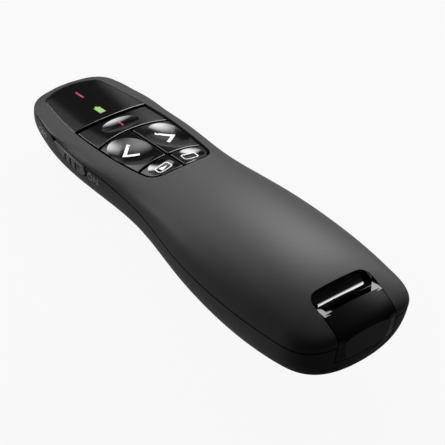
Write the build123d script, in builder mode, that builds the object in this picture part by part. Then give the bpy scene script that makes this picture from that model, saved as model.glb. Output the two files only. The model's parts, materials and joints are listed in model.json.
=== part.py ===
from build123d import *

import os
from math import cos, radians, sin

# Wireless presentation clicker: a hand-held remote with five keys, a laser pointer, a power
# slider on its left side, two AAA cells behind a sliding door, and a USB receiver in its tail.
# Millimetres. +Y points to the nose (laser end), +X to the right, +Z up. The origin is under
# the middle of the body, on the surface that the clicker rests on.

# ---------------------------------------------------------------- body
length = 115.5
station_shares = (0.5, 0.38, 0.225, 0.07, -0.087, -0.242, -0.38, -0.5)
half_widths = (11.1, 14.6, 15.5, 15.3, 17.8, 18.9, 18.4, 17.1)
crown_heights = (12.8, 14.4, 17.4, 20.2, 23.3, 25.2, 24.6, 20.5)
seam_heights = (12.0, 12.3, 13.2, 13.7, 13.3, 13.8, 15.3, 17.5)
keel_heights = (1.5, -0.1, 0.8, 1.7, 0.9, -0.25, 1.3, 5.6)
top_fullness = 0.63
bottom_fullness = 0.67
nose_depth = 6.2
nose_power = 2.9
tail_depth = 11.0
tail_power = 3.4
end_share = 0.014
height_power = 0.6
end_sections = (0, 0.1, 0.3, 0.6, 1)
wall = 1.6
seam_shares = (0.52, 0.4, 0.25, 0.1, -0.05, -0.2, -0.35, -0.52)
seam_gap = 0.4
seam_groove = 0.5
lip_depth = 1.2
lip_rise = 0.4
lip_thickness = 0.8
lip_front = 24.0
lip_root = 0.3
lip_back = -44.0

# ---------------------------------------------------------------- key panel
panel_place = 32.0
panel_tilt = 9.2
panel_front = 56.4
panel_front_corner = (8.4, 54.3)
panel_waist = (11.3, 34.0)
panel_back_corner = (9.3, 9.0)
panel_back = 8.0
panel_front_round = 2.4
panel_back_round = 4.4
step_place = 38.1
nav_place = 30.0
nav_radius = 39.0
rear_place = 15.1
rear_radius = 57.0
key_gap = 0.55
key_edge_gap = 0.75
key_drops = (0.4, 0.4, 0.3)
key_depth = 3.3
key_flange = 0.8
key_flange_reach = 0.6
key_travel = 0.4
key_corner = 0.6
key_edge_round = 0.25
rim_slope = 35.0
stem_diameter = 3.0
laser_dish = (0.0, 34.0, 0.9, 45.0, 9.0)
nav_dish = (7.6, 22.0, 1.6, 20.0, 24.0)
rear_dish = (5.9, 11.7, 1.2, 14.0, 7.0)
dish_lift = 1.5
window_gap = 0.06
window_depth = 1.8
window_edge_round = 0.25
ledge_width = 1.0
ledge_thickness = 1.0

# ---------------------------------------------------------------- board and switches
board_depth = 6.5
board_thickness = 1.0
board_back = 8.8
board_front = 44.0
board_half_width = 11.4
board_narrow_place = 28.2
board_narrow_half_width = 8.5
tact_size = 4.5
tact_height = 1.6
plunger_diameter = 1.9
plunger_height = 0.5
plunger_root = 0.4
pocket_clearance = 0.1
laser_key_place = (0.0, 34.0)
nav_key_place = (5.6, 21.6)
rear_key_place = (4.6, 11.4)
frame_half_width = 8.4
frame_height = 1.5
frame_clearance = 0.3
post_diameter = 3.0
post_places = ((7.6, 14.0), (7.6, 27.0))
chip_size = (5.0, 5.0, 0.9)
chip_place = (0.0, 22.0)
crystal_size = (3.2, 2.5, 0.7)
crystal_place = (5.4, 19.0)
capacitor_size = (2.0, 3.2, 1.2)
capacitor_place = (-5.6, 19.0)

# ---------------------------------------------------------------- laser
laser_height = 6.9
barrel_diameter = 6.0
barrel_bore = 4.4
barrel_back = 38.6
barrel_length = 15.4
lens_thickness = 1.4
lens_set_back = 1.0
diode_diameter = 5.4
diode_length = 1.2
diode_can_length = 2.0
aperture_diameter = 4.6
laser_window_gap = 0.05
laser_window_sink = 0.2
laser_window_thickness = 1.1
holder_half_width = 4.6
holder_back = 41.0
holder_length = 9.0
notch_half_width = 4.0
notch_back = 37.7
guide_half_width = 7.2
guide_thickness = 0.8
guide_back = 40.4
guide_front = 53.2
led_size = 1.6
led_height = 0.7
led_place = (6.3, 42.2)
guide_leg = 2.2

# ---------------------------------------------------------------- cells
cell_diameter = 10.5
cell_body_length = 43.5
cell_nub_diameter = 3.8
cell_nub_length = 1.0
cell_pitch = 10.8
cell_height = 8.9
cell_back = -44.0
spring_space = 2.0
spring_wire = 0.7
spring_turns = 4
spring_wide = 5.8
spring_narrow = 4.0
contact_thickness = 0.4
contact_width = 8.6
contact_height = 7.6
bay_wall = 1.0
bay_top = 14.3

# ---------------------------------------------------------------- battery door
door_half_width = 11.0
door_front = 9.0
door_top = 10.3
door_gap = 0.2
door_corner = 3.0
door_clearance = 0.4
door_rib_width = 1.2
tongue_half_width = 2.5
tongue_length = 2.0
tongue_thickness = 0.8
grip_count = 4
grip_pitch = 1.6
grip_width = 9.0
grip_depth = 0.4
grip_place = -40.0
screw_place = (9.4, 5.4)
screw_diameter = 1.8
screw_head_diameter = 3.2
screw_head_height = 1.1
screw_bottom = 6.4
screw_length = 7.0
boss_diameter = 4.0
boss_joint = 9.0
boss_web_length = 5.0

# ---------------------------------------------------------------- receiver and its dock
dock_front = -45.5
dock_half_width = 8.9
dock_corner = 2.6
liner_gap = 0.06
liner_back = -50.3
liner_floor = 20.9
scoop_radius = 2.9
scoop_wall = 0.8
scoop_place = -47.9
scoop_floor = 21.7
cap_front = -51.4
cap_gap = 0.25
cap_bottom = 12.3
ear_length = 3.0
ear_width = 3.0
ear_bottom = 20.9
ear_top = 22.0
ear_root = 0.5
receiver_width = 15.4
receiver_thickness = 5.4
receiver_bottom = 15.3
receiver_front = -28.0
tenon_width = 10.0
tenon_thickness = 3.4
tenon_length = 2.5
tray_thickness = 0.8
tray_back = -50.8
tray_half_width = 11.8
tray_rail = 1.0
tray_rail_height = 2.6
tray_rail_gap = 0.25
usb_width = 12.0
usb_height = 4.5
usb_sheet = 0.3
usb_length = 14.0
usb_tongue_thickness = 1.9
usb_contact_width = 1.0
usb_contact_pitch = 2.2
usb_contact_thickness = 0.12
usb_contact_length = 9.0
usb_contact_count = 4
usb_contact_set_back = 1.5

# ---------------------------------------------------------------- power slider
slider_place = 35.0
slider_height = 10.8
slider_lean = 3.5
slider_fall = 3.1
recess_length = 16.8
recess_height = 4.2
recess_depth = 1.4
recess_backing = 1.1
slider_length = 13.6
slider_tall = 3.0
slider_drop = -0.1
slider_proud = 0.35
slider_depth = 1.05
slider_end_gap = 0.3
slider_travel = 1.5
drop_corner = (0.45, 0.1, 0.3)
drop_belly = (0.72, 0.62)
groove_count = 3
groove_pitch = 2.2
groove_width = 0.7
groove_tall = 2.3
groove_sink = 0.35
groove_place = -0.9
hollow_radius = 1.9
hollow_place = (-4.7, -0.45, 1.85)
lever_width = 1.6
lever_height = 1.0
lever_drop = 0.9
lever_place = -2.0
lever_reach = 3.2
lever_engagement = 1.35
lever_gap = 0.2
pin_clearance = 0.9
slide_switch_length = 7.2
slide_switch_depth = 2.7
slide_switch_height = 3.0
slide_switch_drop = 1.6

station_places = [share * length for share in station_shares]
reach = length


def profile(y, values):
    """A smooth curve through one value for each station, read at y."""
    y = max(min(y, station_places[0]), station_places[-1])
    last = len(values) - 1
    index = max(i for i in range(last) if y <= station_places[i])

    def slope(k):
        a, b = max(k - 1, 0), min(k + 1, last)
        return (values[b] - values[a]) / (station_places[b] - station_places[a])

    span = station_places[index + 1] - station_places[index]
    t = (y - station_places[index]) / span
    rise = values[index + 1] - values[index]
    start = slope(index) * span - rise
    finish = rise - slope(index + 1) * span
    return values[index] + t * rise + t * (1 - t) * (start * (1 - t) + finish * t)


def rounding(from_end, depth, power):
    """How wide a section near an end is, as a share of its full width."""
    if from_end >= depth:
        return 1.0
    share = 1 - max(from_end / depth, end_share)
    return (1 - share**power) ** (1 / power)


forms = {}


def form(inset):
    """The whole body as one solid, drawn in by inset on every side, made once for each inset."""
    if inset not in forms:
        forms[inset] = make_form(inset)
    return forms[inset]


def make_form(inset):
    """Loft the body through its sections."""
    end = length / 2 - inset
    nose_places = [end - nose_depth * share for share in end_sections]
    tail_places = [-end + tail_depth * share for share in reversed(end_sections)]
    middle_places = [y for y in station_places if tail_places[0] < y < nose_places[-1]]
    with BuildPart() as body:
        for y in nose_places + middle_places + tail_places:
            shrink = rounding(end - y, nose_depth, nose_power) * rounding(end + y, tail_depth, tail_power)
            half = (profile(y, half_widths) - inset) * shrink
            seam = profile(y, seam_heights)
            up = (profile(y, crown_heights) - inset - seam) * shrink**height_power
            down = (profile(y, keel_heights) + inset - seam) * shrink**height_power
            with BuildSketch(Plane.XZ.offset(-y)):
                with BuildLine():
                    for side, height, full in (
                        (1, up, top_fullness),
                        (-1, up, top_fullness),
                        (-1, down, bottom_fullness),
                        (1, down, bottom_fullness),
                    ):
                        Bezier(
                            (side * half, seam),
                            (side * half, seam + full * height),
                            (side * full * half, seam + height),
                            (0, seam + height),
                        )
                make_face()
        loft()
    return body.part


def seam_band(low, high):
    """Everything between two heights measured from the parting line."""
    places = [length * share for share in seam_shares]
    with BuildPart() as band:
        with BuildSketch(Plane.YZ):
            with BuildLine():
                lower = Spline(*[(y, profile(y, seam_heights) + low) for y in places])
                upper = Spline(*[(y, profile(y, seam_heights) + high) for y in places])
                Line(lower @ 0, upper @ 0)
                Line(lower @ 1, upper @ 1)
            make_face()
        extrude(amount=reach / 2, both=True)
    return band.part


def block(low, high):
    """A box between two opposite corners."""
    size = [b - a for a, b in zip(low, high)]
    with BuildPart() as box:
        with Locations(low):
            Box(*size, align=Align.MIN)
    return box.part


def rod(diameter, start, end, plane):
    """A round bar along the plane's normal, from one height over the plane to another."""
    with BuildPart() as bar:
        with BuildSketch(plane.offset(start)):
            Circle(diameter / 2)
        extrude(amount=end - start)
    return bar.part


outer = form(0)
inner = form(wall)
floor_cut = block((-reach, -reach, -reach), (reach, reach, 0))

# The panel plane touches the crown under the keys. Its x is +X, its y runs down to the nose.
panel_height = profile(panel_place, crown_heights)
tilt = radians(panel_tilt)
panel = Plane(
    origin=(0, panel_place, panel_height), x_dir=(1, 0, 0), z_dir=(0, sin(tilt), cos(tilt))
)


def along(y):
    """The panel's own y of the point on the crown at y."""
    return (y - panel_place) * cos(tilt) - (profile(y, crown_heights) - panel_height) * sin(tilt)


def panel_outline(grow):
    """The outline of the glossy panel, in the panel's plane."""
    front_x, front_y = panel_front_corner
    waist_x, waist_y = panel_waist
    back_x, back_y = panel_back_corner
    with BuildSketch() as outline:
        with BuildLine():
            front = ThreePointArc(
                (-front_x, along(front_y)), (0, along(panel_front)), (front_x, along(front_y))
            )
            back = ThreePointArc(
                (-back_x, along(back_y)), (0, along(panel_back)), (back_x, along(back_y))
            )
            for side, start, finish in ((-1, front @ 0, back @ 0), (1, front @ 1, back @ 1)):
                ThreePointArc(start, (side * waist_x, along(waist_y)), finish)
        make_face()
        corners = outline.vertices().sort_by(Axis.Y)
        fillet(corners[:2], panel_back_round)
        corners = outline.vertices().sort_by(Axis.Y)
        fillet(corners[-2:], panel_front_round)
        if grow:
            offset(amount=grow)
    return outline.sketch


def key_outline(row, side, grow):
    """One key's outline: row 0 is the laser key, 1 the navigation keys, 2 the rear keys."""
    high = reach
    nav_centre = (0, along(nav_place) - nav_radius)
    rear_centre = (0, along(rear_place) - rear_radius)
    with BuildSketch() as outline:
        add(panel_outline(grow))
        if row == 0:
            with Locations((0, along(step_place) - key_gap - high / 2)):
                Rectangle(high, high, mode=Mode.INTERSECT)
            with Locations(nav_centre):
                Circle(nav_radius + key_gap / 2, mode=Mode.SUBTRACT)
        if row == 1:
            with Locations(nav_centre):
                Circle(nav_radius - key_gap / 2, mode=Mode.INTERSECT)
            with Locations(rear_centre):
                Circle(rear_radius + key_gap / 2, mode=Mode.SUBTRACT)
        if row == 2:
            with Locations(rear_centre):
                Circle(rear_radius - key_gap / 2, mode=Mode.INTERSECT)
        if side:
            with Locations((side * (high / 2 + key_gap / 2), 0)):
                Rectangle(high, high, mode=Mode.INTERSECT)
            fillet(outline.vertices().sort_by(lambda point: abs(point.X))[:2], key_corner)
    return outline.sketch


def prism(sketch, plane, start, end):
    """A sketch drawn up from one height over a plane to another."""
    with BuildPart() as body:
        with BuildSketch(plane.offset(start)):
            add(sketch)
        extrude(amount=end - start)
    return body.part


def panel_at(x, y):
    """The panel's plane, moved to the point on the crown at y and across to x."""
    return Plane(panel.from_local_coords((x, along(y), 0)), x_dir=panel.x_dir, z_dir=panel.z_dir)


def dish(x, y, depth, radius_across, radius_along):
    """A shallow bowl, deepest at a place on the panel, with its own radius each way."""
    low = panel_at(x, y).offset(-depth)
    section = Plane(low.origin, x_dir=panel.x_dir, z_dir=-panel.y_dir)
    with BuildPart() as bowl:
        with BuildSketch(section):
            with Locations((0, radius_across)):
                Circle(radius_across)
            Rectangle(reach, 2 * (depth + dish_lift), mode=Mode.INTERSECT)
        revolve(axis=Axis(low.origin + panel.z_dir * radius_along, panel.x_dir))
    return bowl.part


def rim_edges(body):
    """The edges where the top of a solid meets its upright sides."""
    tops = [face for face in body.faces() if face.normal_at().Z > cos(radians(rim_slope))]
    sides = [face for face in body.faces() if abs(face.normal_at().Z) < sin(radians(rim_slope))]
    on_sides = [edge for face in sides for edge in face.edges()]
    return [edge for face in tops for edge in face.edges() if edge in on_sides]


# ---------------------------------------------------------------- places worked out from the sizes
key_bottom = key_depth + key_flange
plunger_top = board_depth - tact_height - plunger_height
board_bottom = board_depth + board_thickness
above = reach / 2
window_zone = prism(panel_outline(0), panel, -window_depth, above)
key_names = ("laser", "back", "forward", "play", "blank")
key_rows = (0, 1, 1, 2, 2)
key_sides = (0, -1, 1, -1, 1)
key_places = (laser_key_place, nav_key_place, nav_key_place, rear_key_place, rear_key_place)
parts = {}


def keep(name, part):
    """Label a finished piece and hold it for export."""
    part.label = name
    parts[name] = part


# ---------------------------------------------------------------- keys, plungers and switches
for name, row, side, place in zip(key_names, key_rows, key_sides, key_places):
    x, y = (place[0] * side, place[1])
    axis = panel_at(x, y)
    middle, *bowl = (laser_dish, nav_dish, rear_dish)[row]
    with BuildPart() as key:
        add(form(key_drops[row]))
        add(prism(key_outline(row, side, -key_edge_gap), panel, -key_depth, above), mode=Mode.INTERSECT)
        fillet(rim_edges(key.part), key_edge_round)
        add(dish(side * middle, *bowl), mode=Mode.SUBTRACT)
        add(prism(key_outline(row, side, key_flange_reach), panel, -key_bottom, -key_depth))
        add(rod(stem_diameter, -plunger_top, -key_bottom, axis))
    keep(f"{name}_key", key.part)

    plunger_low = board_depth - tact_height + plunger_root
    keep(f"{name}_plunger", rod(plunger_diameter, -plunger_low, -plunger_top, axis))

    pocket_low = plunger_low + key_travel + pocket_clearance
    with BuildPart() as base:
        with BuildSketch(axis.offset(-board_depth)):
            Rectangle(tact_size, tact_size)
        extrude(amount=tact_height)
        add(rod(plunger_diameter + 2 * pocket_clearance, -pocket_low, 0, axis), mode=Mode.SUBTRACT)
    keep(f"{name}_switch", base.part)

# ---------------------------------------------------------------- window, light guide and board
with BuildPart() as display_window:
    add(outer)
    add(prism(panel_outline(-window_gap), panel, -window_depth, above), mode=Mode.INTERSECT)
    with BuildSketch(panel.offset(-window_depth)):
        with Locations((0, along(step_place))):
            Rectangle(reach, reach, align=(Align.CENTER, Align.MIN))
    extrude(amount=above, mode=Mode.INTERSECT)
    fillet(rim_edges(display_window.part), window_edge_round)
keep("display_window", display_window.part)

led_top = board_depth - led_height
with BuildPart() as light_guide:
    with BuildSketch(panel.offset(-window_depth)):
        with Locations((0, along(guide_back))):
            Rectangle(
                2 * guide_half_width,
                along(guide_front) - along(guide_back),
                align=(Align.CENTER, Align.MIN),
            )
    extrude(amount=-guide_thickness)
    with BuildSketch(panel.offset(-window_depth - guide_thickness)):
        with Locations(*[(side * led_place[0], along(led_place[1])) for side in (-1, 1)]):
            Rectangle(guide_leg, guide_leg)
    extrude(amount=-(led_top - window_depth - guide_thickness))
keep("light_guide", light_guide.part)

for name, side in (("laser_led", -1), ("battery_led", 1)):
    with BuildPart() as led:
        with BuildSketch(panel_at(side * led_place[0], led_place[1]).offset(-board_depth)):
            Rectangle(led_size, led_size)
        extrude(amount=led_height)
    keep(name, led.part)

with BuildPart() as main_board:
    with BuildSketch(panel.offset(-board_depth)):
        for half, front in ((board_half_width, board_narrow_place), (board_narrow_half_width, board_front)):
            with Locations((0, along(board_back))):
                Rectangle(2 * half, along(front) - along(board_back), align=(Align.CENTER, Align.MIN))
        with Locations((0, along(notch_back))):
            Rectangle(2 * notch_half_width, reach, align=(Align.CENTER, Align.MIN), mode=Mode.SUBTRACT)
    extrude(amount=-board_thickness)
keep("main_board", main_board.part)

with BuildPart() as key_frame:
    with BuildSketch(panel.offset(-board_depth)):
        low, high = along(board_back), along(notch_back)
        with Locations((0, low)):
            Rectangle(2 * frame_half_width, high - low, align=(Align.CENTER, Align.MIN))
        for side, (x, y) in zip(key_sides, key_places):
            with Locations((side * x, along(y))):
                opening = tact_size + 2 * frame_clearance
                Rectangle(opening, opening, mode=Mode.SUBTRACT)
    extrude(amount=frame_height)
keep("key_frame", key_frame.part)

for name, size, place in (
    ("radio_chip", chip_size, chip_place),
    ("crystal", crystal_size, crystal_place),
    ("storage_capacitor", capacitor_size, capacitor_place),
):
    with BuildPart() as component:
        with BuildSketch(panel_at(*place).offset(-board_bottom)):
            Rectangle(size[0], size[1])
        extrude(amount=-size[2])
    keep(name, component.part)

# ---------------------------------------------------------------- laser
laser_axis = Plane((0, 0, laser_height), x_dir=(1, 0, 0), z_dir=(0, 1, 0))
barrel_front = barrel_back + barrel_length
lens_front = barrel_front - lens_set_back
with BuildPart() as laser_barrel:
    add(rod(barrel_diameter, barrel_back, barrel_front, laser_axis))
    add(rod(barrel_bore, barrel_back, barrel_front, laser_axis), mode=Mode.SUBTRACT)
keep("laser_barrel", laser_barrel.part)
keep("laser_lens", rod(barrel_bore, lens_front - lens_thickness, lens_front, laser_axis))

with BuildPart() as laser_diode:
    add(rod(diode_diameter, barrel_back - diode_length, barrel_back, laser_axis))
    add(rod(barrel_bore, barrel_back, barrel_back + diode_can_length, laser_axis))
keep("laser_diode", laser_diode.part)

with BuildPart() as laser_window:
    add(rod(aperture_diameter - 2 * laser_window_gap, barrel_front, above + barrel_front, laser_axis))
    add(form(laser_window_sink), mode=Mode.INTERSECT)
    add(form(laser_window_sink + laser_window_thickness), mode=Mode.SUBTRACT)
keep("laser_window", laser_window.part)

with BuildPart() as laser_holder:
    add(
        block(
            (-holder_half_width, holder_back, 0),
            (holder_half_width, holder_back + holder_length, laser_height),
        )
    )
    add(inner, mode=Mode.INTERSECT)
    add(rod(barrel_diameter, barrel_back, barrel_front, laser_axis), mode=Mode.SUBTRACT)
keep("laser_holder", laser_holder.part)

# ---------------------------------------------------------------- cells and contacts
cell_length = cell_body_length + cell_nub_length
bay_front = cell_back + cell_length
bay_back = cell_back - spring_space
cell_bottom = cell_height - cell_diameter / 2
for name, side, start, facing in (("left", -1, cell_back, 1), ("right", 1, bay_front - spring_space, -1)):
    axis = Plane((side * cell_pitch / 2, start, cell_height), x_dir=(1, 0, 0), z_dir=(0, facing, 0))
    with BuildPart() as cell:
        add(rod(cell_diameter, 0, cell_body_length, axis))
        add(rod(cell_nub_diameter, cell_body_length, cell_length, axis))
    keep(f"battery_{name}", cell.part)

    coil = axis.offset(spring_wire / 2 - spring_space)
    with BuildPart() as spring:
        for turn in range(spring_turns):
            share = turn / (spring_turns - 1)
            with Locations(coil.offset((spring_space - spring_wire) * share)):
                Torus((spring_wide + (spring_narrow - spring_wide) * share) / 2, spring_wire / 2)
    keep(f"contact_spring_{name}", spring.part)

contact_low = cell_height - contact_height / 2
contact_high = cell_height + contact_height / 2
for name, low_x, high_x, front in (
    ("positive_contact", -cell_pitch / 2 - contact_width / 2, -cell_pitch / 2 + contact_width / 2, 1),
    ("negative_contact", cell_pitch / 2 - contact_width / 2, cell_pitch / 2 + contact_width / 2, 1),
    ("bridge_contact", -cell_pitch / 2 - contact_width / 2, cell_pitch / 2 + contact_width / 2, 0),
):
    start = bay_front if front else bay_back - contact_thickness
    keep(
        name,
        block((low_x, start, contact_low), (high_x, start + contact_thickness, contact_high)),
    )

# ---------------------------------------------------------------- battery door
def door_zone(grow):
    """The upright column that the battery door fills, with rounded front corners."""
    half = door_half_width + grow
    with BuildPart() as zone:
        with BuildSketch(Plane.XY.offset(-above)):
            with Locations((0, door_front + grow)):
                outline = Rectangle(2 * half, reach, align=(Align.CENTER, Align.MAX))
            fillet(outline.vertices().sort_by(Axis.Y)[-2:], door_corner)
        extrude(amount=above + door_top + grow)
    return zone.part


with BuildPart() as door_ribs:
    for side in (-1, 1):
        x = side * cell_pitch / 2
        low = (x - door_rib_width / 2, cell_back + spring_space, 0)
        high = (x + door_rib_width / 2, bay_front - spring_space, cell_bottom - door_gap)
        add(block(low, high))
    add(form(wall - door_gap), mode=Mode.INTERSECT)

tongue_low = profile(door_front, keel_heights) + wall + door_gap
tongue_high = tongue_low + tongue_thickness
with BuildPart() as battery_door:
    add(outer)
    add(door_zone(0), mode=Mode.INTERSECT)
    add(inner, mode=Mode.SUBTRACT)
    add(floor_cut, mode=Mode.SUBTRACT)
    for grip in range(grip_count):
        y = grip_place - grip * grip_pitch
        top = profile(y, keel_heights) + grip_depth
        low = (-grip_width / 2, y - grip_pitch / 4, -above)
        high = (grip_width / 2, y + grip_pitch / 4, top)
        add(block(low, high), mode=Mode.SUBTRACT)
    add(door_ribs.part)
    root_low = tongue_low - 2 * door_gap
    root_back = door_front - tongue_length
    add(block((-tongue_half_width, root_back, root_low), (tongue_half_width, door_front, tongue_high)))
    tip_front = door_front + tongue_length
    add(block((-tongue_half_width, door_front, tongue_low), (tongue_half_width, tip_front, tongue_high)))
keep("battery_door", battery_door.part)


# ---------------------------------------------------------------- receiver dock
def dock_zone(grow, low, back_of):
    """The upright column of the dock's opening over a height, as far forward as back_of."""
    half = dock_half_width + grow
    with BuildPart() as zone:
        with BuildSketch(Plane.XY.offset(low)):
            with Locations((0, dock_front + grow)):
                outline = Rectangle(2 * half, reach, align=(Align.CENTER, Align.MAX))
            fillet(outline.vertices().sort_by(Axis.Y)[-2:], dock_corner)
            with Locations((0, back_of)):
                Rectangle(reach, 2 * reach, align=(Align.CENTER, Align.MAX), mode=Mode.INTERSECT)
        extrude(amount=above)
    return zone.part


def ear_zone(side, grow):
    """The three-cornered column over the receiver that one of the cap's front ears fills."""
    edge = dock_half_width - cap_gap + grow
    corners = (
        (side * edge, cap_front - ear_root),
        (side * edge, cap_front + ear_length + 2 * grow),
        (side * (edge - ear_width - 2 * grow), cap_front),
        (side * (edge - ear_width - 2 * grow), cap_front - ear_root),
    )
    with BuildPart() as zone:
        with BuildSketch(Plane.XY.offset(ear_bottom)):
            Polygon(*corners, align=None)
        extrude(amount=above)
    return zone.part


scoop_half_width = dock_half_width - liner_gap - scoop_wall
scoop_axis = Plane((0, scoop_place, scoop_floor + scoop_radius), x_dir=(0, 1, 0), z_dir=(1, 0, 0))
with BuildPart() as dock_liner:
    add(outer)
    add(dock_zone(-liner_gap, liner_floor, above), mode=Mode.INTERSECT)
    add(block((-above, liner_back, 0), (above, above, above)), mode=Mode.INTERSECT)
    add(rod(2 * scoop_radius, -scoop_half_width, scoop_half_width, scoop_axis), mode=Mode.SUBTRACT)
    for side in (-1, 1):
        add(ear_zone(side, cap_gap), mode=Mode.SUBTRACT)
keep("dock_liner", dock_liner.part)

tray_top = bay_top + tray_thickness
rail_inner = receiver_width / 2 + tray_rail_gap
with BuildPart() as receiver_tray:
    add(block((-tray_half_width, tray_back, bay_top), (tray_half_width, bay_front + bay_wall, tray_top)))
    for side in (-1, 1):
        rail = (side * rail_inner, side * (rail_inner + tray_rail))
        rail_top = tray_top + tray_rail_height
        add(block((min(rail), tray_back, tray_top), (max(rail), receiver_front, rail_top)))
keep("receiver_tray", receiver_tray.part)

# ---------------------------------------------------------------- receiver
receiver_middle = receiver_bottom + receiver_thickness / 2
usb_axis = Plane((0, receiver_front, receiver_middle), x_dir=(1, 0, 0), z_dir=(0, 1, 0))


def bar(width, height, start, end):
    """A square bar along the receiver, between two distances from its front face."""
    with BuildPart() as beam:
        with BuildSketch(usb_axis.offset(start)):
            Rectangle(width, height)
        extrude(amount=end - start)
    return beam.part


body_back = cap_front - receiver_front
tenon = bar(tenon_width, tenon_thickness, body_back - tenon_length, body_back)
with BuildPart() as receiver_body:
    add(bar(receiver_width, receiver_thickness, body_back, 0))
    add(tenon)
keep("receiver_body", receiver_body.part)

with BuildPart() as cap_ears:
    for side in (-1, 1):
        add(ear_zone(side, 0))
    add(block((-above, -above, 0), (above, above, ear_top)), mode=Mode.INTERSECT)

with BuildPart() as receiver_cap:
    add(outer)
    add(dock_zone(-cap_gap, cap_bottom, cap_front), mode=Mode.INTERSECT)
    add(tenon, mode=Mode.SUBTRACT)
    add(cap_ears.part)
keep("receiver_cap", receiver_cap.part)

with BuildPart() as usb_shell:
    add(bar(usb_width, usb_height, 0, usb_length))
    add(bar(usb_width - 2 * usb_sheet, usb_height - 2 * usb_sheet, 0, usb_length), mode=Mode.SUBTRACT)
keep("usb_shell", usb_shell.part)

tongue_floor = receiver_middle - usb_height / 2 + usb_sheet
tongue_roof = tongue_floor + usb_tongue_thickness
tongue_half = usb_width / 2 - usb_sheet
tongue_tip = receiver_front + usb_length - usb_sheet
keep(
    "usb_tongue",
    block((-tongue_half, receiver_front, tongue_floor), (tongue_half, tongue_tip, tongue_roof)),
)
for index in range(usb_contact_count):
    x = (index - (usb_contact_count - 1) / 2) * usb_contact_pitch
    start = tongue_tip - usb_contact_set_back - usb_contact_length
    low = (x - usb_contact_width / 2, start, tongue_roof)
    high = (x + usb_contact_width / 2, start + usb_contact_length, tongue_roof + usb_contact_thickness)
    keep(f"usb_contact_{index + 1}", block(low, high))

# ---------------------------------------------------------------- power slider
lean, fall = radians(slider_lean), radians(slider_fall)
slider_plane = Plane(
    origin=(-profile(slider_place, half_widths), slider_place, slider_height),
    x_dir=(sin(lean) * cos(fall), cos(lean) * cos(fall), -sin(fall)),
    z_dir=(-cos(lean), sin(lean), 0),
)
slider_rest = (slider_length - recess_length) / 2 + slider_end_gap
lever_rest = slider_rest + lever_place
lever_middle = lever_rest + slider_travel / 2


def drop_outline(long, tall, x, low):
    """A drop on the slider's plane: straight on top, pointed to the nose and round at the tail."""
    top = low - tall / 2
    back = x - long / 2
    tip = (x + long / 2, top)
    shoulder, corner, cheek = drop_corner
    belly_back, belly_front = drop_belly
    with BuildSketch() as outline:
        with BuildLine():
            Line(tip, (back + shoulder * tall, top))
            Bezier(
                (back + shoulder * tall, top),
                (back + corner * tall, top),
                (back, low - cheek * tall),
                (back, low),
            )
            Bezier(
                (back, low), (back, low + belly_back * tall), (x, low + belly_front * tall), tip
            )
        make_face()
    return outline.sketch


def peg(long, tall, x, drop, start, end):
    """A square peg through the slider's plane, centred at x along it and drop below it."""
    with BuildPart() as pin:
        with BuildSketch(slider_plane.offset(start)):
            with Locations((x, drop)):
                Rectangle(long, tall)
        extrude(amount=end - start)
    return pin.part


pin_root = recess_depth + recess_backing + pin_clearance
with BuildPart() as knob_grooves:
    for index in range(groove_count):
        x = slider_rest + groove_place + (index - (groove_count - 1) / 2) * groove_pitch
        add(peg(groove_width, groove_tall, x, slider_drop, -lever_reach, lever_reach))
    add(form(groove_sink), mode=Mode.SUBTRACT)
hollow_x, hollow_drop, hollow_height = hollow_place
hollow_centre = slider_plane.from_local_coords((slider_rest + hollow_x, hollow_drop, hollow_height))

with BuildPart() as power_slider:
    add(form(-slider_proud))
    knob = drop_outline(slider_length, slider_tall, slider_rest, slider_drop)
    add(prism(knob, slider_plane, -lever_reach, lever_reach), mode=Mode.INTERSECT)
    add(form(slider_depth), mode=Mode.SUBTRACT)
    add(knob_grooves.part, mode=Mode.SUBTRACT)
    with Locations(hollow_centre):
        Sphere(hollow_radius, mode=Mode.SUBTRACT)
    add(peg(lever_width, lever_height, lever_rest, lever_drop, -pin_root, -slider_depth))
keep("power_slider", power_slider.part)

lever_tip = pin_root + lever_engagement
lever = peg(lever_width, lever_height, lever_rest, lever_drop, -lever_tip, -pin_root)
keep("slide_switch_lever", lever)

switch_face = pin_root - lever_gap / 2
slot_tall = lever_height + 2 * lever_gap
lever_slot = lever_width + slider_travel + 2 * slider_end_gap
with BuildPart() as slide_switch_body:
    switch_back = switch_face + slide_switch_depth
    size = (slide_switch_length, slide_switch_height)
    add(peg(*size, lever_middle, slide_switch_drop, -switch_back, -switch_face))
    slot = (lever_slot, slot_tall, lever_middle, lever_drop)
    add(peg(*slot, -lever_tip - lever_gap, 0), mode=Mode.SUBTRACT)
keep("slide_switch_body", slide_switch_body.part)

# ---------------------------------------------------------------- case screws
screw_shaft_low = screw_bottom + screw_head_height
screw_axes = {
    "left": Plane((-screw_place[0], screw_place[1], 0)),
    "right": Plane((screw_place[0], screw_place[1], 0)),
}
screw_top = screw_shaft_low + screw_length
with BuildPart() as screw_room:
    for axis in screw_axes.values():
        add(rod(screw_diameter, screw_bottom, screw_top, axis))
        add(rod(screw_head_diameter, -above, screw_shaft_low, axis))

for name, axis in screw_axes.items():
    with BuildPart() as case_screw:
        add(rod(screw_diameter, screw_bottom, screw_top, axis))
        add(rod(screw_head_diameter, screw_bottom, screw_shaft_low, axis))
    keep(f"case_screw_{name}", case_screw.part)

# ---------------------------------------------------------------- top cover
seam_cut = seam_band(0, above)
with BuildPart() as seam_ring:
    add(seam_band(-seam_gap / 2, seam_gap / 2))
    add(form(seam_groove), mode=Mode.SUBTRACT)


def panel_half(plane, start, toward_nose):
    """The space over a plane on one side of a line across the panel, at start along it."""
    edge = Align.MIN if toward_nose else Align.MAX
    with BuildSketch() as area:
        with Locations((0, start)):
            Rectangle(reach, reach, align=(Align.CENTER, edge))
    return prism(area.sketch, plane, 0, above)


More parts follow.
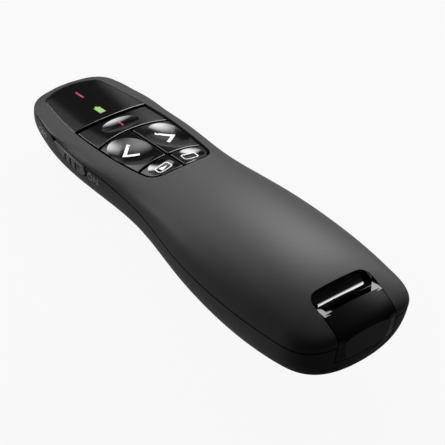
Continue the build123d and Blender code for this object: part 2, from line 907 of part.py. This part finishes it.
ledge_low = -window_depth - ledge_thickness
ledge_plane = panel.offset(ledge_low)
with BuildPart() as ledge_hole:
    add(prism(panel_outline(-ledge_width), panel, ledge_low, above))
    add(panel_half(ledge_plane, along(step_place) + ledge_width, True), mode=Mode.INTERSECT)
with BuildPart() as window_ledge:
    add(prism(panel_outline(ledge_width), panel, ledge_low, -window_depth))
    add(panel_half(ledge_plane, along(step_place), True), mode=Mode.INTERSECT)
    add(ledge_hole.part, mode=Mode.SUBTRACT)
    add(form(wall / 2), mode=Mode.INTERSECT)
with BuildPart() as key_opening:
    add(prism(panel_outline(0), panel, -key_bottom, above))
    add(panel_half(panel.offset(-key_bottom), along(step_place), False), mode=Mode.INTERSECT)
with BuildPart() as seam_lip:
    add(seam_band(-lip_depth, lip_rise))
    add(form(wall - lip_root), mode=Mode.INTERSECT)
    add(form(wall + lip_thickness), mode=Mode.SUBTRACT)
    add(block((-above, lip_back, -above), (above, lip_front, above)), mode=Mode.INTERSECT)
with BuildPart() as top_posts:
    for axis in screw_axes.values():
        add(rod(boss_diameter, boss_joint, above, axis))
    add(form(wall / 2), mode=Mode.INTERSECT)

with BuildPart() as top_cover:
    add(outer)
    add(inner, mode=Mode.SUBTRACT)
    add(window_ledge.part)
    add(seam_cut, mode=Mode.INTERSECT)
    add(seam_ring.part, mode=Mode.SUBTRACT)
    add(seam_lip.part)
    add(top_posts.part)
    add(window_zone, mode=Mode.SUBTRACT)
    add(key_opening.part, mode=Mode.SUBTRACT)
    add(dock_zone(0, cap_bottom - cap_gap, above), mode=Mode.SUBTRACT)
    add(screw_room.part, mode=Mode.SUBTRACT)
keep("top_cover", top_cover.part)

# ---------------------------------------------------------------- bottom cover
bay_half_width = door_half_width + door_gap
end_wall = contact_thickness + bay_wall
with BuildPart() as bay_structure:
    low = (-bay_half_width - bay_wall, bay_back - end_wall, 0)
    add(block(low, (bay_half_width + bay_wall, bay_front + end_wall, bay_top)))
    low = (-bay_half_width, bay_back - contact_thickness, -above)
    add(block(low, (bay_half_width, bay_front + contact_thickness, above)), mode=Mode.SUBTRACT)
    for axis in screw_axes.values():
        add(rod(boss_diameter, screw_bottom, boss_joint, axis))
        web_end = axis.origin.X + (boss_web_length if axis.origin.X > 0 else -boss_web_length)
        low = (min(axis.origin.X, web_end), screw_place[1] - bay_wall, screw_bottom)
        high = (max(axis.origin.X, web_end), screw_place[1] + bay_wall, boss_joint)
        add(block(low, high))
    for x, y in post_places:
        for side in (-1, 1):
            add(rod(post_diameter, -above, -board_bottom, panel_at(side * x, y)))
    add(form(wall / 2), mode=Mode.INTERSECT)

with BuildPart() as slider_backing:
    backing = 2 * recess_backing
    around = drop_outline(recess_length + backing, recess_height + backing, 0, 0)
    add(prism(around, slider_plane, -lever_reach, lever_reach))
    add(form(wall / 2), mode=Mode.INTERSECT)
    add(form(recess_depth + recess_backing), mode=Mode.SUBTRACT)
with BuildPart() as slider_recess:
    recess = drop_outline(recess_length, recess_height, 0, 0)
    add(prism(recess, slider_plane, -lever_reach, lever_reach))
    add(form(recess_depth), mode=Mode.SUBTRACT)
with BuildPart() as door_opening:
    add(door_zone(door_gap))
    add(form(wall + door_clearance), mode=Mode.SUBTRACT)
notch_half = tongue_half_width + door_clearance
notch_low = (-notch_half, bay_front, -above)
tongue_notch = block(notch_low, (notch_half, bay_front + 2 * end_wall, tongue_high + door_gap))

with BuildPart() as bottom_cover:
    add(outer)
    add(inner, mode=Mode.SUBTRACT)
    add(slider_backing.part)
    add(seam_cut, mode=Mode.SUBTRACT)
    add(seam_ring.part, mode=Mode.SUBTRACT)
    add(seam_lip.part, mode=Mode.SUBTRACT)
    add(bay_structure.part)
    add(door_opening.part, mode=Mode.SUBTRACT)
    add(tongue_notch, mode=Mode.SUBTRACT)
    add(window_zone, mode=Mode.SUBTRACT)
    add(dock_zone(0, cap_bottom - cap_gap, tray_back), mode=Mode.SUBTRACT)
    add(slider_recess.part, mode=Mode.SUBTRACT)
    add(peg(*slot, -lever_tip, -slider_depth), mode=Mode.SUBTRACT)
    add(rod(aperture_diameter, barrel_front, above + barrel_front, laser_axis), mode=Mode.SUBTRACT)
    add(screw_room.part, mode=Mode.SUBTRACT)
    add(floor_cut, mode=Mode.SUBTRACT)
keep("bottom_cover", bottom_cover.part)

os.makedirs("parts", exist_ok=True)
for name, piece in parts.items():
    export_step(piece, f"parts/{name}.step")
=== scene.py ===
# %% [markdown]
# # A wireless presentation clicker
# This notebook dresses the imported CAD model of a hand-held clicker: a soft-touch charcoal shell,
# a panel of polished black keys, a smoked window, printed symbols and a thumb-sized power slider.
# Blender works in metres here, so a helper turns millimetres into metres.

import json
from math import cos, pi, radians, sin

import bpy
from mathutils import Matrix, Vector


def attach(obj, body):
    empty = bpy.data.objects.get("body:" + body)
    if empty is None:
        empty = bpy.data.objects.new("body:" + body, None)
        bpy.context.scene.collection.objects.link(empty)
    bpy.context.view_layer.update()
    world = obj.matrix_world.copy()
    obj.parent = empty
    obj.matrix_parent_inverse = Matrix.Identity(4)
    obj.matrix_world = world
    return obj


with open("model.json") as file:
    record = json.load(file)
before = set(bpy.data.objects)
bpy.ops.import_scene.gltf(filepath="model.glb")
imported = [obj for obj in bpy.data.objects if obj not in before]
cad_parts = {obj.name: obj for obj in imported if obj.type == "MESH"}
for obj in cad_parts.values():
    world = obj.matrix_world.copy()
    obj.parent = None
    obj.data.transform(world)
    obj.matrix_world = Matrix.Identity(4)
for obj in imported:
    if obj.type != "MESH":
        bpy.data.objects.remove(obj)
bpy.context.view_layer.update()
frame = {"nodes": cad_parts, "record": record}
nodes = frame["nodes"]
body_of = {name: body for body, names in frame["record"]["behaviour"]["bodies"].items() for name in names}
slot_of = {part["node"]: part["material_slot"] for part in frame["record"]["subparts"]}
mm = 0.001

# %% [markdown]
# ## The camera
# A long lens about half a metre away keeps the body's lines nearly parallel, as in a product
# picture. Its place is given by an azimuth, an elevation and a roll round the point it looks at,
# which is easier to read and adjust than a matrix. A small shift slides the picture in its frame.

# %% Place the camera
azimuth, elevation, roll = radians(-43.18), radians(40.18), radians(6.74)
aim = Vector((0, 0, 12 * mm))
distance = 482.97 * mm
focal_pixels = 2012.3
picture_width = 445
picture_shift = (0.041, -0.0297)

toward = Vector((sin(azimuth) * cos(elevation), -cos(azimuth) * cos(elevation), sin(elevation)))
level = Vector((cos(azimuth), sin(azimuth), 0))
upright = toward.cross(level)
across = level * cos(roll) + upright * sin(roll)
upward = upright * cos(roll) - level * sin(roll)

lens = bpy.data.cameras.new("product_camera")
lens.lens = focal_pixels / picture_width * lens.sensor_width
lens.shift_x, lens.shift_y = picture_shift
lens.clip_start = 20 * mm
camera = bpy.data.objects.new("product_camera", lens)
bpy.context.scene.collection.objects.link(camera)
turn = Matrix((across, upward, toward)).transposed().to_4x4()
camera.matrix_world = Matrix.Translation(aim + toward * distance) @ turn
bpy.context.scene.camera = camera
print("camera at", [round(v / mm) for v in camera.matrix_world.translation], "mm")

# %% [markdown]
# ## Colours and nodes
# A maker writes colours as hex values, but Blender's sockets take linear light, so one function
# turns them. Another adds a shader node with its settings and links, which keeps each material
# short enough to read at once.

# %% Colour and node helpers
def colour(code):
    """A hex colour as linear light."""
    shares = [int(code[i : i + 2], 16) / 255 for i in (1, 3, 5)]
    linear = [s / 12.92 if s <= 0.04045 else ((s + 0.055) / 1.055) ** 2.4 for s in shares]
    return (*linear, 1)


def add_node(tree, kind, settings=None, inputs=None):
    """One shader node: settings are its own values, inputs are constants or other sockets."""
    node = tree.nodes.new(kind)
    for name, value in (settings or {}).items():
        setattr(node, name, value)
    for name, value in (inputs or {}).items():
        if isinstance(value, bpy.types.NodeSocket):
            tree.links.new(value, node.inputs[name])
        else:
            node.inputs[name].default_value = value
    return node


def new_material(name, **shader):
    """A material with one principled shader, whose constant values are given by name."""
    made = bpy.data.materials.new(name)
    made.use_nodes = True
    tree = made.node_tree
    surface = tree.nodes["Principled BSDF"]
    for key, value in shader.items():
        surface.inputs[key.replace("_", " ")].default_value = value
    return made, tree, surface


def place_on(tree, scale):
    """Object coordinates, scaled so that one unit of a pattern is 1 / scale of a metre."""
    spot = add_node(tree, "ShaderNodeTexCoord")
    inputs = {"Vector": spot.outputs["Object"], "Scale": (scale, scale, scale)}
    return add_node(tree, "ShaderNodeMapping", inputs=inputs).outputs["Vector"]


print("black is", colour("#000000")[:3])

# %% [markdown]
# ## The stage
# A pale floor that curves up into a low backdrop, as photographers use, hides the horizon. It is
# one round sheet, whose rim is pulled out and up in three steps. The camera sees it mostly as
# plain white, and the rest of it is lit by the lamps, so that it keeps a soft shadow of the
# clicker. Under that white the paper is a dull grey, which throws little light back up. In a
# reflection it glows a third as much, and hardly at all behind the tail, where a photographer
# would lay black card, because a black shell that mirrors a full white sheet loses its own
# shading. The sheet lies a little under the clicker, which leaves room for the battery door as it
# slides down and off, and a camera below it looks through it, so that the underside can be seen.

# %% Floor and backdrop
def deselect():
    """Nothing selected, so that the next operator acts only on what it is given."""
    if bpy.context.object and bpy.context.object.mode != "OBJECT":
        bpy.ops.object.mode_set(mode="OBJECT")
    bpy.ops.object.select_all(action="DESELECT")


floor_level = -3.8 * mm
floor_radius = 1.6
floor_border = 0.2
floor_sides = 96
backdrop_steps = ((0.03, 1.72), (0.1, 1.79), (0.42, 1.8))
deselect()
bpy.ops.mesh.primitive_circle_add(
    vertices=floor_sides, radius=floor_radius, fill_type="NGON", location=(0, 0, 0)
)
floor = bpy.context.object
floor.data.transform(Matrix.Translation((0, 0, floor_level)))
floor.name = "studio_floor"
bpy.ops.object.mode_set(mode="EDIT")
bpy.ops.mesh.select_all(action="SELECT")
bpy.ops.mesh.inset(thickness=floor_border)
bpy.ops.object.mode_set(mode="OBJECT")
for height, radius in backdrop_steps:
    bpy.ops.object.mode_set(mode="EDIT")
    bpy.ops.mesh.select_all(action="DESELECT")
    bpy.ops.mesh.select_non_manifold(extend=False)
    bpy.ops.mesh.extrude_edges_move()
    bpy.ops.object.mode_set(mode="OBJECT")
    rim = [v for v in floor.data.vertices if v.select]
    grow = radius / max(v.co.xy.length for v in rim)
    for v in rim:
        v.co = (v.co.x * grow, v.co.y * grow, floor_level + height)
bpy.ops.object.shade_smooth()

white_share = 0.93
card_edge = (-55 * mm, -30 * mm)
card_glow, paper_glow = 0.02, 0.32
paper, tree, surface = new_material("white_backdrop_paper", Roughness=0.9, Base_Color=colour("#6a6a6a"))
path = add_node(tree, "ShaderNodeLightPath")
glow = add_node(tree, "ShaderNodeEmission", inputs={"Color": (1, 1, 1, 1), "Strength": 1.0})
inputs = {0: path.outputs["Is Glossy Ray"], 1: path.outputs["Is Transmission Ray"]}
mirrored = add_node(tree, "ShaderNodeMath", {"operation": "MAXIMUM"}, inputs)
spot = add_node(tree, "ShaderNodeTexCoord")
place = add_node(tree, "ShaderNodeSeparateXYZ", inputs={"Vector": spot.outputs["Object"]})
limits = {"Value": place.outputs["Y"], "From Min": card_edge[0], "From Max": card_edge[1]}
limits |= {"To Min": card_glow, "To Max": paper_glow}
carded = add_node(tree, "ShaderNodeMapRange", inputs=limits)
inputs = {0: mirrored.outputs[0], 1: carded.outputs["Result"]}
dimmed = add_node(tree, "ShaderNodeMath", {"operation": "MULTIPLY"}, inputs)
inputs = {0: path.outputs["Is Camera Ray"], 1: dimmed.outputs[0]}
seen = add_node(tree, "ShaderNodeMath", {"operation": "MAXIMUM"}, inputs)
inputs = {0: seen.outputs[0], 1: white_share}
share = add_node(tree, "ShaderNodeMath", {"operation": "MULTIPLY"}, inputs)
inputs = {0: share.outputs[0], 1: surface.outputs["BSDF"], 2: glow.outputs["Emission"]}
blend = add_node(tree, "ShaderNodeMixShader", inputs=inputs)
clear = add_node(tree, "ShaderNodeBsdfTransparent")
facing = add_node(tree, "ShaderNodeNewGeometry")
inputs = {0: facing.outputs["Backfacing"], 1: blend.outputs[0], 2: clear.outputs["BSDF"]}
one_sided = add_node(tree, "ShaderNodeMixShader", inputs=inputs)
tree.links.new(one_sided.outputs[0], tree.nodes["Material Output"].inputs["Surface"])
floor.data.materials.append(paper)
print("floor is", round(max(floor.dimensions), 2), "m wide")

# %% [markdown]
# ## Light
# A polished black part shows whatever stands round it, so the light is a few soft boxes in a dim
# room. A broad one stands in front, a bright one to the right draws the highlights in the hollows
# of the keys, and a low one lights the left of the nose. Another stands low on the right, and two
# dim ones give the window and the receiver's cap a dark grey reflection. Each box is brightest in
# its middle, as real ones are, so its reflection has a soft edge. They stand close, so their light
# falls off towards the tail.

# %% Lamps and room
lamp_distance = 0.3
bright_middle, faded_edge, edge_level = 0.15, 0.6, 0.1
room_level = 0.06


def soft_box(name, bearing, height_angle, width, height, radiance):
    """A rectangular lamp facing the clicker, at a compass bearing from +Y and a height angle.

    Its width and height are shares of its distance, and its radiance is that of its middle.
    """
    bearing, height_angle = radians(bearing), radians(height_angle)
    ray = Vector((sin(bearing) * cos(height_angle), cos(bearing) * cos(height_angle), sin(height_angle)))
    lamp = bpy.data.lights.new(name, "AREA")
    lamp.shape = "RECTANGLE"
    lamp.size, lamp.size_y = width * lamp_distance, height * lamp_distance
    lamp.energy = radiance * pi * lamp.size * lamp.size_y
    lamp.use_nodes = True
    tree = lamp.node_tree
    face = add_node(tree, "ShaderNodeNewGeometry")
    inputs = {0: face.outputs["Parametric"], 1: (0.5, 0.5, 0)}
    off_middle = add_node(tree, "ShaderNodeVectorMath", {"operation": "DISTANCE"}, inputs)
    limits = {"Value": off_middle.outputs["Value"], "From Min": bright_middle, "From Max": faded_edge}
    limits |= {"To Min": 1.0, "To Max": edge_level}
    level = add_node(tree, "ShaderNodeMapRange", {"interpolation_type": "SMOOTHSTEP"}, limits)
    tree.links.new(level.outputs["Result"], tree.nodes["Emission"].inputs["Strength"])
    holder = bpy.data.objects.new(name, lamp)
    bpy.context.scene.collection.objects.link(holder)
    turned = (-ray).to_track_quat("-Z", "Y").to_matrix().to_4x4()
    holder.matrix_world = Matrix.Translation(ray * lamp_distance) @ turned


soft_box("front_soft_box", -4, 46, 0.9, 0.6, 4.2)
soft_box("bright_soft_box", 56, 45, 0.72, 0.46, 16.0)
soft_box("low_left_soft_box", -24, 14, 0.5, 0.35, 12.0)
soft_box("side_soft_box", 80, 20, 0.5, 0.28, 5.0)
soft_box("window_soft_box", 40, 20, 0.26, 0.2, 0.9)
soft_box("tail_soft_box", 102, 45, 0.36, 0.3, 3.0)

world = bpy.data.worlds.new("dim_studio")
bpy.context.scene.world = world
world.use_nodes = True
room = world.node_tree.nodes["Background"]
room.inputs["Color"].default_value = colour("#ffffff")
room.inputs["Strength"].default_value = room_level
bpy.context.scene.view_settings.view_transform = "Standard"

# %% [markdown]
# ## Finishes
# Each finish is named after the real material and how its surface was made. They all share one
# trick: a noise pattern, sized in real millimetres, shifts the colour a little and lifts the
# surface a little, because nothing real is perfectly even.

# %% A finish with fine grain
def grained(name, code, grain_mm, depth_mm, spread=0.08, **shader):
    """A finish whose noise is grain_mm across, depth_mm deep, and shifts the colour by spread."""
    made, tree, surface = new_material(name, **shader)
    inputs = {"Vector": place_on(tree, 1 / (grain_mm * mm)), "Scale": 1.0, "Detail": 3.0}
    grain = add_node(tree, "ShaderNodeTexNoise", inputs=inputs)
    levels = {"Value": grain.outputs["Fac"], "To Min": 1 - spread, "To Max": 1 + spread}
    level = add_node(tree, "ShaderNodeMapRange", inputs=levels)
    inputs = {0: colour(code)[:3], "Scale": level.outputs["Result"]}
    tone = add_node(tree, "ShaderNodeVectorMath", {"operation": "SCALE"}, inputs)
    tree.links.new(tone.outputs["Vector"], surface.inputs["Base Color"])
    inputs = {"Height": grain.outputs["Fac"], "Strength": 0.3, "Distance": depth_mm * mm}
    bump = add_node(tree, "ShaderNodeBump", inputs=inputs)
    tree.links.new(bump.outputs["Normal"], surface.inputs["Normal"])
    return made


# ABS sprayed with rubbery soft-touch paint. It is a dark charcoal, and its matting powder keeps
# the mirror part weak, so a wide soft sheen lifts it to grey where it faces a lamp. The real
# grain of such a spray is too fine to show, so it is drawn 0.3 mm across.
shell = grained(
    "abs_soft_touch_paint", "#2a2a2b", 0.3, 0.012, Roughness=0.5, IOR=1.5, Specular_IOR_Level=0.35
)

# Black ABS from a polished mould: a hard clear gloss, with a faint waviness 4 mm across.
key_gloss = grained("abs_polished_black", "#040405", 4, 0.004, Roughness=0.12, IOR=1.5)

# The same polished ABS on the receiver's cap, where fingers have dulled it a little.
handled_gloss = grained(
    "abs_polished_black_handled", "#040405", 4, 0.004, Roughness=0.26, IOR=1.5, Specular_IOR_Level=0.3
)

# Smoked acrylic, polished like glass. What lies under it doesn't show through.
smoked = grained("acrylic_smoked_polished", "#070708", 5, 0.002, Roughness=0.12, IOR=1.49)

# Mid-grey ABS straight from a satin mould, as on small sliders.
satin_grey = grained("abs_satin_grey", "#5c5d5d", 0.3, 0.01, Roughness=0.4, IOR=1.5)
print("five outer finishes")

# %% [markdown]
# ## Finishes inside
# The part can be opened, so the board, cells, contacts and the receiver's plug get their own
# materials too. Metals keep the default IOR, and their colour does the work.

# %% Inner finishes
black_resin = grained("nylon_moulded_black", "#1a1a1b", 0.2, 0.01, Roughness=0.55)
white_resin = grained("lcp_moulded_white", "#d9d8d2", 0.2, 0.008, Roughness=0.45)
board = grained("solder_mask_green", "#1d5a38", 0.6, 0.01, Roughness=0.3, IOR=1.5)
nickel = grained("nickel_plated_spring_steel", "#b9b5ad", 0.15, 0.004, 0.05, Roughness=0.28, Metallic=1.0)
steel = grained("stainless_sheet_rolled", "#b4b6b8", 0.15, 0.004, 0.05, Roughness=0.25, Metallic=1.0)
brass = grained("brass_turned", "#c4a25c", 0.12, 0.004, 0.05, Roughness=0.25, Metallic=1.0)
gold = grained("gold_plate", "#dcb45a", 0.12, 0.002, 0.04, Roughness=0.2, Metallic=1.0)
wrap = grained("pvc_cell_sleeve", "#3b3d42", 1.5, 0.01, Roughness=0.25, IOR=1.53)
red_lamp = grained("epoxy_red_diffused", "#9c2030", 0.5, 0.01, Roughness=0.2, IOR=1.5)
green_lamp = grained("epoxy_green_diffused", "#3f8f3a", 0.5, 0.01, Roughness=0.2, IOR=1.5)
guide_looks = {"Roughness": 0.08, "IOR": 1.58, "Transmission_Weight": 0.9}
guide = grained("polycarbonate_clear_moulded", "#e4e8ea", 3, 0.002, **guide_looks)
glass_looks = {"Roughness": 0.03, "IOR": 1.49, "Transmission_Weight": 0.95}
lens_glass = grained("acrylic_clear_lens", "#eef2f4", 3, 0.001, **glass_looks)
print(len(bpy.data.materials), "materials")

# %% [markdown]
# ## Give every node its finish
# The record names a material slot for each node, so one table from slot to finish dresses them
# all. Only the receiver's cap gets a finish of its own.

# %% Finishes by slot
finish_of_slot = {
    "soft_touch_black": shell,
    "grey_plastic": satin_grey,
    "gloss_black": key_gloss,
    "smoked_window": smoked,
    "light_guide_clear": guide,
    "lens_clear": lens_glass,
    "board_green": board,
    "black_resin": black_resin,
    "white_resin": white_resin,
    "nickel": nickel,
    "steel": steel,
    "brass_plain": brass,
    "gold_contact": gold,
    "red_led": red_lamp,
    "green_led": green_lamp,
    "cell_wrap": wrap,
}
for name, node in nodes.items():
    node.data.materials.clear()
    node.data.materials.append(finish_of_slot[slot_of[name]])
nodes["receiver_cap"].data.materials[0] = handled_gloss
print(len(nodes), "nodes dressed")

# %% [markdown]
# ## Printed symbols
# The white symbols are printed in a thick ink that follows the hollow of each key. A ribbon is
# drawn flat above the key, one square face pulled on from point to point, and then dropped on to
# the surface with a Shrinkwrap modifier. Solidify gives the ink its thickness.

# %% Ink and a ribbon
ink = grained("screen_ink_white", "#f2f2f0", 0.15, 0.004, 0.03, Roughness=0.4)
red_ink = grained("screen_ink_red", "#a03050", 0.15, 0.004, 0.1, Roughness=0.35)
green_ink = grained("screen_ink_green", "#8fb86a", 0.15, 0.004, 0.08, Roughness=0.35)
grey_ink = grained("pad_print_grey", "#b4b5b5", 0.15, 0.004, 0.1, Roughness=0.5)
ink_height = 0.03 * mm
ink_thickness = 0.048 * mm
print_lift = 40 * mm
path_step = 0.5
sharpest_mitre = 0.3
merge_distance = 0.002 * mm


def split_path(points, step, closed):
    """The same path with more points on it, at most step apart."""
    ends = points[1:] + (points[:1] if closed else [])
    path = []
    for start, end in zip(points, ends):
        start, end = Vector(start), Vector(end)
        count = max(1, round((end - start).length / step))
        path += [start.lerp(end, i / count) for i in range(count)]
    return path if closed else path + [Vector(points[-1])]


def ribbon(name, points, width, closed=False):
    """A flat strip along a path in millimetres, mitred at its corners."""
    path = split_path(points, path_step, closed)
    last = len(path) - 1
    pairs = []
    for i, here in enumerate(path):
        before = path[i - 1] if i or closed else here
        after = path[(i + 1) % len(path)] if i < last or closed else here
        come, leave = (here - before).normalized(), (after - here).normalized()
        come, leave = (come if come.length else leave), (leave if leave.length else come)
        side = Vector((-(come + leave).y, (come + leave).x)).normalized()
        reach = width / 2 / max(side.dot(Vector((-come.y, come.x))), sharpest_mitre)
        pairs.append(((here + side * reach) * mm, (here - side * reach) * mm))
    deselect()
    bpy.ops.mesh.primitive_plane_add(size=width * mm, location=(0, 0, print_lift))
    strip = bpy.context.object
    strip.name = name
    bpy.ops.object.transform_apply(location=True)
    corners = strip.data.vertices
    for index, spot in zip((0, 1, 3, 2), (*pairs[0], *reversed(pairs[1]))):
        corners[index].co = (*spot, print_lift)
    front = (2, 3)
    last_left = corners[3].co.copy()
    for left, right in pairs[2:] + (pairs[:1] if closed else []):
        for v in strip.data.vertices:
            v.select = v.index in front
        for e in strip.data.edges:
            e.select = set(e.vertices) == set(front)
        for f in strip.data.polygons:
            f.select = False
        bpy.ops.object.mode_set(mode="EDIT")
        bpy.ops.mesh.select_mode(type="EDGE")
        bpy.ops.mesh.extrude_edges_move()
        bpy.ops.object.mode_set(mode="OBJECT")
        moved = sorted(v.index for v in strip.data.vertices if v.select)
        near_left = min(moved, key=lambda i: (strip.data.vertices[i].co - last_left).length)
        near_right = moved[0] if near_left == moved[1] else moved[1]
        last_left = Vector((*left, print_lift))
        strip.data.vertices[near_left].co = last_left
        strip.data.vertices[near_right].co = (*right, print_lift)
        front = (near_left, near_right)
    bpy.ops.object.mode_set(mode="EDIT")
    bpy.ops.mesh.select_all(action="SELECT")
    bpy.ops.mesh.remove_doubles(threshold=merge_distance)
    bpy.ops.mesh.normals_make_consistent(inside=False)
    bpy.ops.object.mode_set(mode="OBJECT")
    return strip


def lay_on(piece, target, finish, body, axis="z", toward=-1):
    """Drop a flat print on to a node along an axis, give it thickness and let it ride."""
    deselect()
    bpy.context.view_layer.objects.active = piece
    piece.select_set(True)
    wrap_on = piece.modifiers.new("drop", "SHRINKWRAP")
    wrap_on.target = nodes[target]
    wrap_on.wrap_method = "PROJECT"
    wrap_on.wrap_mode = "ABOVE_SURFACE"
    wrap_on.use_project_x = axis == "x"
    wrap_on.use_project_z = axis == "z"
    wrap_on.use_negative_direction = toward < 0
    wrap_on.use_positive_direction = toward > 0
    wrap_on.offset = ink_height
    bpy.ops.object.modifier_apply(modifier="drop")
    thick = piece.modifiers.new("ink", "SOLIDIFY")
    thick.thickness = ink_thickness
    thick.offset = -1
    bpy.ops.object.modifier_apply(modifier="ink")
    piece.data.materials.clear()
    piece.data.materials.append(finish)
    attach(piece, body)
    return piece


print("ink is", ink_height / mm, "mm proud")

# %% [markdown]
# ## Arrows for back and forward
# Each arrow is one bent ribbon. The two point outwards, away from the middle of the panel.

# %% Arrows
arrow_points = ((4.1, 25.3), (7.5, 22.3), (4.4, 20.3))
arrow_width = 0.85
for side, target in ((-1, "back_key"), (1, "forward_key")):
    arrow = ribbon(f"{target}_arrow", [(side * x, y) for x, y in arrow_points], arrow_width)
    lay_on(arrow, target, ink, body_of[target])
print("arrows on", body_of["back_key"], "and", body_of["forward_key"])

# %% [markdown]
# ## Screen symbols
# The rear keys carry the outline of a screen: a rounded rectangle, with a solid triangle in the
# left one for starting the show. The right one stays empty, for a blank screen.

# %% Screen outlines and triangle
screen_place = (4.05, 11.65)
screen_lean = 4
screen_size = (3.95, 2.15)
screen_corner = 0.5
corner_cut = 0.3
screen_line = 0.3


def rounded_frame(side):
    """The points of a leaning rectangle with cut corners, going round once."""
    w, h = screen_size[0] / 2, screen_size[1] / 2
    corner, cut = screen_corner, screen_corner * corner_cut
    spots = []
    for sx, sy in ((1, 1), (-1, 1), (-1, -1), (1, -1)):
        a = (sx * w, sy * (h - corner))
        b = (sx * (w - cut), sy * (h - cut))
        c = (sx * (w - corner), sy * h)
        spots += [a, b, c] if sx * sy > 0 else [c, b, a]
    lean = Matrix.Rotation(radians(-side * screen_lean), 2)
    middle = Vector((side * screen_place[0], screen_place[1]))
    return [tuple(lean @ Vector(spot) + middle) for spot in spots]


for side, target in ((-1, "play_key"), (1, "blank_key")):
    screen = ribbon(f"{target}_screen", rounded_frame(side), screen_line, True)
    lay_on(screen, target, ink, body_of[target])

triangle_point, triangle_base, triangle_half = 1.25 * mm, -0.9 * mm, 0.68 * mm
triangle_round, triangle_cuts = 0.08 * mm, 3
deselect()
middle = (-screen_place[0] * mm, screen_place[1] * mm, print_lift)
bpy.ops.mesh.primitive_circle_add(vertices=3, radius=1 * mm, fill_type="NGON", location=(0, 0, 0))
triangle = bpy.context.object
triangle.name = "play_key_triangle"
point = max(triangle.data.vertices, key=lambda v: v.co.y)
for v in triangle.data.vertices:
    half = triangle_half if v.co.x < 0 else -triangle_half
    v.co = (triangle_point, 0, 0) if v == point else (triangle_base, half, 0)
triangle.data.transform(Matrix.Translation(middle) @ Matrix.Rotation(radians(screen_lean), 4, "Z"))
bpy.ops.object.mode_set(mode="EDIT")
bpy.ops.mesh.select_all(action="SELECT")
bpy.ops.mesh.normals_make_consistent(inside=False)
bpy.ops.mesh.bevel(offset=triangle_round, segments=2, affect="VERTICES")
bpy.ops.mesh.poke()
bpy.ops.mesh.subdivide(number_cuts=triangle_cuts)
bpy.ops.object.mode_set(mode="OBJECT")
if triangle.data.polygons[0].normal.z < 0:
    triangle.data.flip_normals()
lay_on(triangle, "play_key", ink, body_of["play_key"])
print("triangle spans", [round(v / mm, 2) for v in triangle.dimensions])

# %% [markdown]
# ## Window marks
# A red bar on the window and a smaller one on the laser key stand for the laser beam, and a green
# cell shows the battery's state.

# %% Laser bars and battery
for name, target, path, width in (
    ("window_laser_bar", "display_window", [(-0.1, 52.3), (-0.1, 49.2)], 0.6),
    ("laser_key_bar", "laser_key", [(0.5, 35.3), (0.5, 33.2)], 0.5),
):
    bar = ribbon(name, path, width)
    lay_on(bar, target, red_ink, body_of[target])

cell_x, cell_y = -0.3 * mm, 41.95 * mm
cell_width, cell_length = 1.75 * mm, 2.8 * mm
cell_cuts = 5
nub_half, nub_length = 0.5 * mm, 0.5 * mm
same_place = 0.001 * mm
deselect()
bpy.ops.mesh.primitive_plane_add(size=1, location=(cell_x, cell_y, print_lift))
cell = bpy.context.object
cell.name = "battery_mark"
cell.scale = (cell_width, cell_length, 1)
bpy.ops.object.transform_apply(location=True, scale=True)
bpy.ops.object.mode_set(mode="EDIT")
bpy.ops.mesh.select_all(action="SELECT")
bpy.ops.mesh.subdivide(number_cuts=cell_cuts)
bpy.ops.mesh.select_all(action="DESELECT")
bpy.ops.object.mode_set(mode="OBJECT")
top_edge = max(v.co.y for v in cell.data.vertices)
for e in cell.data.edges:
    ends = [cell.data.vertices[i].co for i in e.vertices]
    e.select = all(abs(c.y - top_edge) < same_place and abs(c.x - cell_x) < nub_half for c in ends)
bpy.ops.object.mode_set(mode="EDIT")
bpy.ops.mesh.select_mode(type="EDGE")
bpy.ops.mesh.extrude_edges_move(TRANSFORM_OT_translate={"value": (0, nub_length, 0)})
bpy.ops.object.mode_set(mode="OBJECT")
lay_on(cell, "display_window", green_ink, body_of["display_window"])
print("battery mark is", [round(v / mm, 2) for v in cell.dimensions])

# %% [markdown]
# ## Words at the slider
# OFF stands before the slider and ON behind it, pad printed in grey. Text starts as a curve, so
# it is made a mesh before it is stood up against the side and dropped on to it.

# %% OFF and ON
# Type is measured with the space above and below its capitals, so it is taller than they are.
type_size = 1.4
for word, place, height, slope in (("OFF", (47.2, 9.6), 1.9, -8), ("ON", (24.3, 11.2), 2.0, -2)):
    deselect()
    bpy.ops.object.text_add(location=(0, 0, 0))
    label = bpy.context.object
    label.name = "word_" + word.lower()
    label.data.body = word
    label.data.size = height * mm * type_size
    label.data.align_x = "CENTER"
    label.data.align_y = "CENTER"
    bpy.ops.object.convert(target="MESH")
    lean = Matrix.Rotation(radians(slope), 4, "X")
    stand = Matrix(((0, 0, -1, 0), (-1, 0, 0, 0), (0, 1, 0, 0), (0, 0, 0, 1)))
    spot = Matrix.Translation((-print_lift, place[0] * mm, place[1] * mm))
    label.data.transform(spot @ lean @ stand)
    bpy.ops.object.mode_set(mode="EDIT")
    bpy.ops.mesh.select_all(action="SELECT")
    bpy.ops.mesh.remove_doubles(threshold=same_place)
    bpy.ops.object.mode_set(mode="OBJECT")
    lay_on(label, "bottom_cover", grey_ink, body_of["bottom_cover"], axis="x", toward=1)
    print(word, [round(v / mm, 2) for v in label.dimensions])
